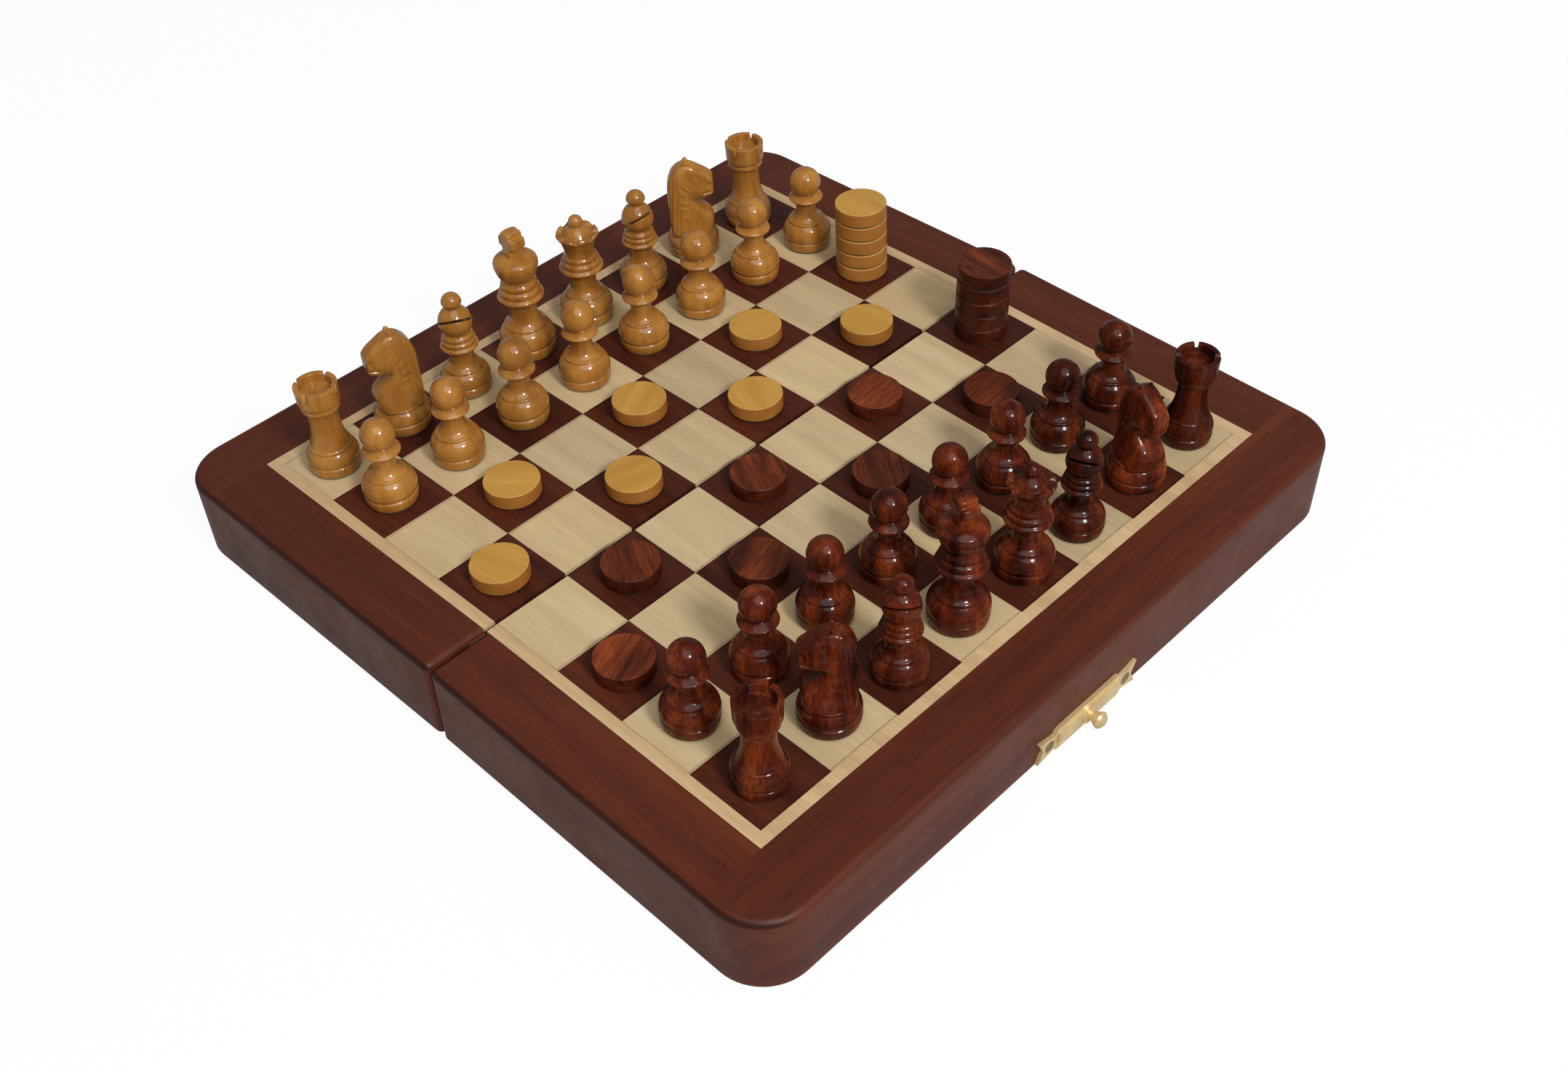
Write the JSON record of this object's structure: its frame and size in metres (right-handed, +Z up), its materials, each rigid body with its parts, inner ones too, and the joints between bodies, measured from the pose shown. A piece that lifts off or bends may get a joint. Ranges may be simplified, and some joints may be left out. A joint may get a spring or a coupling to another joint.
{
  "type": "magnetic chess and checkers board",
  "caption": "Folding wooden magnetic chess and checkers board, open on brass hinges, with turned chessmen and disc checkers on inlaid squares and felt-lined storage trays below.",
  "frame": {"origin": "on the table under the middle of the seam of the open board", "axes": "+X along the seam, +Y from the dark men's half to the light men's half, +Z up"},
  "size_m": [0.178, 0.1882, 0.0513],
  "materials": {
    "frame_wood": "satin lacquer over red-brown rosewood",
    "plywood": "raw",
    "sheet_steel": "plain",
    "dark_veneer": "satin lacquer",
    "pale_veneer": "satin lacquer",
    "stringing_wood": "satin lacquer",
    "green_felt": "felt",
    "brass": "polished, lightly worn",
    "light_chessman_wood": "gloss lacquer over boxwood",
    "dark_chessman_wood": "gloss lacquer over stained rosewood",
    "light_checker_wood": "satin boxwood",
    "dark_checker_wood": "satin stained rosewood"
  },
  "bodies": {
    "light_half": {"clasp_hook_plate": "brass", "hinge_pins": "brass", "light_brass_screws": "brass", "light_felt_lining": "green_felt", "light_half_dark_squares": "dark_veneer", "light_half_pale_squares": "pale_veneer", "light_hinge_leaves": "brass", "light_long_rail": "frame_wood", "light_panel": "plywood", "light_side_rails": "frame_wood", "light_spine_rail": "frame_wood", "light_steel_sheet": "sheet_steel", "light_stringing": "stringing_wood"},
    "dark_half": {"clasp_stud_plate": "brass", "dark_brass_screws": "brass", "dark_felt_lining": "green_felt", "dark_half_dark_squares": "dark_veneer", "dark_half_pale_squares": "pale_veneer", "dark_hinge_leaves": "brass", "dark_long_rail": "frame_wood", "dark_panel": "plywood", "dark_side_rails": "frame_wood", "dark_spine_rail": "frame_wood", "dark_steel_sheet": "sheet_steel", "dark_stringing": "stringing_wood"},
    "clasp_hook": {"clasp_hook": "brass"},
    "dark_bishop_1": {"dark_bishop_1": "dark_chessman_wood"},
    "dark_bishop_2": {"dark_bishop_2": "dark_chessman_wood"},
    "dark_checkers": {"dark_checkers": "dark_checker_wood"},
    "dark_king": {"dark_king": "dark_chessman_wood"},
    "dark_knight_1": {"dark_knight_1": "dark_chessman_wood"},
    "dark_knight_2": {"dark_knight_2": "dark_chessman_wood"},
    "dark_pawn_1": {"dark_pawn_1": "dark_chessman_wood"},
    "dark_pawn_2": {"dark_pawn_2": "dark_chessman_wood"},
    "dark_pawn_3": {"dark_pawn_3": "dark_chessman_wood"},
    "dark_pawn_4": {"dark_pawn_4": "dark_chessman_wood"},
    "dark_pawn_5": {"dark_pawn_5": "dark_chessman_wood"},
    "dark_pawn_6": {"dark_pawn_6": "dark_chessman_wood"},
    "dark_pawn_7": {"dark_pawn_7": "dark_chessman_wood"},
    "dark_pawn_8": {"dark_pawn_8": "dark_chessman_wood"},
    "dark_queen": {"dark_queen": "dark_chessman_wood"},
    "dark_rook_1": {"dark_rook_1": "dark_chessman_wood"},
    "dark_rook_2": {"dark_rook_2": "dark_chessman_wood"},
    "light_bishop_1": {"light_bishop_1": "light_chessman_wood"},
    "light_bishop_2": {"light_bishop_2": "light_chessman_wood"},
    "light_checkers": {"light_checkers": "light_checker_wood"},
    "light_king": {"light_king": "light_chessman_wood"},
    "light_knight_1": {"light_knight_1": "light_chessman_wood"},
    "light_knight_2": {"light_knight_2": "light_chessman_wood"},
    "light_pawn_1": {"light_pawn_1": "light_chessman_wood"},
    "light_pawn_2": {"light_pawn_2": "light_chessman_wood"},
    "light_pawn_3": {"light_pawn_3": "light_chessman_wood"},
    "light_pawn_4": {"light_pawn_4": "light_chessman_wood"},
    "light_pawn_5": {"light_pawn_5": "light_chessman_wood"},
    "light_pawn_6": {"light_pawn_6": "light_chessman_wood"},
    "light_pawn_7": {"light_pawn_7": "light_chessman_wood"},
    "light_pawn_8": {"light_pawn_8": "light_chessman_wood"},
    "light_queen": {"light_queen": "light_chessman_wood"},
    "light_rook_1": {"light_rook_1": "light_chessman_wood"},
    "light_rook_2": {"light_rook_2": "light_chessman_wood"}
  },
  "joints": [
    {"name": "fold", "type": "hinge", "parent": "light_half", "child": "dark_half", "pos_m": [0, 0, 0.0016], "axis": [1, 0, 0], "range_deg": [-2.2, 177.8]},
    {"name": "hook_swing", "type": "hinge", "parent": "light_half", "child": "clasp_hook", "pos_m": [0, 0.09105, 0.00355], "axis": [0, 0.9998, -0.0192], "range_deg": [0, 90]},
    {"name": "dark_king_lift", "type": "slide", "parent": "dark_half", "child": "dark_king", "axis": [0, -0.0192, 0.9998], "range_m": [0, 0.06]},
    {"name": "light_king_lift", "type": "slide", "parent": "light_half", "child": "light_king", "axis": [0, 0.0192, 0.9998], "range_m": [0, 0.06]},
    {"name": "dark_queen_lift", "type": "slide", "parent": "dark_half", "child": "dark_queen", "axis": [0, -0.0192, 0.9998], "range_m": [0, 0.06]},
    {"name": "light_queen_lift", "type": "slide", "parent": "light_half", "child": "light_queen", "axis": [0, 0.0192, 0.9998], "range_m": [0, 0.06]},
    {"name": "dark_bishop_1_lift", "type": "slide", "parent": "dark_half", "child": "dark_bishop_1", "axis": [0, -0.0192, 0.9998], "range_m": [0, 0.06]},
    {"name": "dark_bishop_2_lift", "type": "slide", "parent": "dark_half", "child": "dark_bishop_2", "axis": [0, -0.0192, 0.9998], "range_m": [0, 0.06]},
    {"name": "light_bishop_1_lift", "type": "slide", "parent": "light_half", "child": "light_bishop_1", "axis": [0, 0.0192, 0.9998], "range_m": [0, 0.06]},
    {"name": "light_bishop_2_lift", "type": "slide", "parent": "light_half", "child": "light_bishop_2", "axis": [0, 0.0192, 0.9998], "range_m": [0, 0.06]},
    {"name": "dark_knight_1_lift", "type": "slide", "parent": "dark_half", "child": "dark_knight_1", "axis": [0, -0.0192, 0.9998], "range_m": [0, 0.06]},
    {"name": "dark_knight_2_lift", "type": "slide", "parent": "dark_half", "child": "dark_knight_2", "axis": [0, -0.0192, 0.9998], "range_m": [0, 0.06]},
    {"name": "light_knight_1_lift", "type": "slide", "parent": "light_half", "child": "light_knight_1", "axis": [0, 0.0192, 0.9998], "range_m": [0, 0.06]},
    {"name": "light_knight_2_lift", "type": "slide", "parent": "light_half", "child": "light_knight_2", "axis": [0, 0.0192, 0.9998], "range_m": [0, 0.06]},
    {"name": "dark_rook_1_lift", "type": "slide", "parent": "dark_half", "child": "dark_rook_1", "axis": [0, -0.0192, 0.9998], "range_m": [0, 0.06]},
    {"name": "dark_rook_2_lift", "type": "slide", "parent": "dark_half", "child": "dark_rook_2", "axis": [0, -0.0192, 0.9998], "range_m": [0, 0.06]},
    {"name": "light_rook_1_lift", "type": "slide", "parent": "light_half", "child": "light_rook_1", "axis": [0, 0.0192, 0.9998], "range_m": [0, 0.06]},
    {"name": "light_rook_2_lift", "type": "slide", "parent": "light_half", "child": "light_rook_2", "axis": [0, 0.0192, 0.9998], "range_m": [0, 0.06]},
    {"name": "dark_checkers_lift", "type": "slide", "parent": "dark_half", "child": "dark_checkers", "axis": [0, -0.0192, 0.9998], "range_m": [0, 0.06]},
    {"name": "light_checkers_lift", "type": "slide", "parent": "light_half", "child": "light_checkers", "axis": [0, 0.0192, 0.9998], "range_m": [0, 0.06]},
    {"name": "dark_pawn_1_lift", "type": "slide", "parent": "dark_half", "child": "dark_pawn_1", "axis": [0, -0.0192, 0.9998], "range_m": [0, 0.06]},
    {"name": "dark_pawn_2_lift", "type": "slide", "parent": "dark_half", "child": "dark_pawn_2", "axis": [0, -0.0192, 0.9998], "range_m": [0, 0.06]},
    {"name": "dark_pawn_3_lift", "type": "slide", "parent": "dark_half", "child": "dark_pawn_3", "axis": [0, -0.0192, 0.9998], "range_m": [0, 0.06]},
    {"name": "dark_pawn_4_lift", "type": "slide", "parent": "dark_half", "child": "dark_pawn_4", "axis": [0, -0.0192, 0.9998], "range_m": [0, 0.06]},
    {"name": "dark_pawn_5_lift", "type": "slide", "parent": "dark_half", "child": "dark_pawn_5", "axis": [0, -0.0192, 0.9998], "range_m": [0, 0.06]},
    {"name": "dark_pawn_6_lift", "type": "slide", "parent": "dark_half", "child": "dark_pawn_6", "axis": [0, -0.0192, 0.9998], "range_m": [0, 0.06]},
    {"name": "dark_pawn_7_lift", "type": "slide", "parent": "dark_half", "child": "dark_pawn_7", "axis": [0, -0.0192, 0.9998], "range_m": [0, 0.06]},
    {"name": "dark_pawn_8_lift", "type": "slide", "parent": "dark_half", "child": "dark_pawn_8", "axis": [0, -0.0192, 0.9998], "range_m": [0, 0.06]},
    {"name": "light_pawn_1_lift", "type": "slide", "parent": "light_half", "child": "light_pawn_1", "axis": [0, 0.0192, 0.9998], "range_m": [0, 0.06]},
    {"name": "light_pawn_2_lift", "type": "slide", "parent": "light_half", "child": "light_pawn_2", "axis": [0, 0.0192, 0.9998], "range_m": [0, 0.06]},
    {"name": "light_pawn_3_lift", "type": "slide", "parent": "light_half", "child": "light_pawn_3", "axis": [0, 0.0192, 0.9998], "range_m": [0, 0.06]},
    {"name": "light_pawn_4_lift", "type": "slide", "parent": "light_half", "child": "light_pawn_4", "axis": [0, 0.0192, 0.9998], "range_m": [0, 0.06]},
    {"name": "light_pawn_5_lift", "type": "slide", "parent": "light_half", "child": "light_pawn_5", "axis": [0, 0.0192, 0.9998], "range_m": [0, 0.06]},
    {"name": "light_pawn_6_lift", "type": "slide", "parent": "light_half", "child": "light_pawn_6", "axis": [0, 0.0192, 0.9998], "range_m": [0, 0.06]},
    {"name": "light_pawn_7_lift", "type": "slide", "parent": "light_half", "child": "light_pawn_7", "axis": [0, 0.0192, 0.9998], "range_m": [0, 0.06]},
    {"name": "light_pawn_8_lift", "type": "slide", "parent": "light_half", "child": "light_pawn_8", "axis": [0, 0.0192, 0.9998], "range_m": [0, 0.06]}
  ]
}
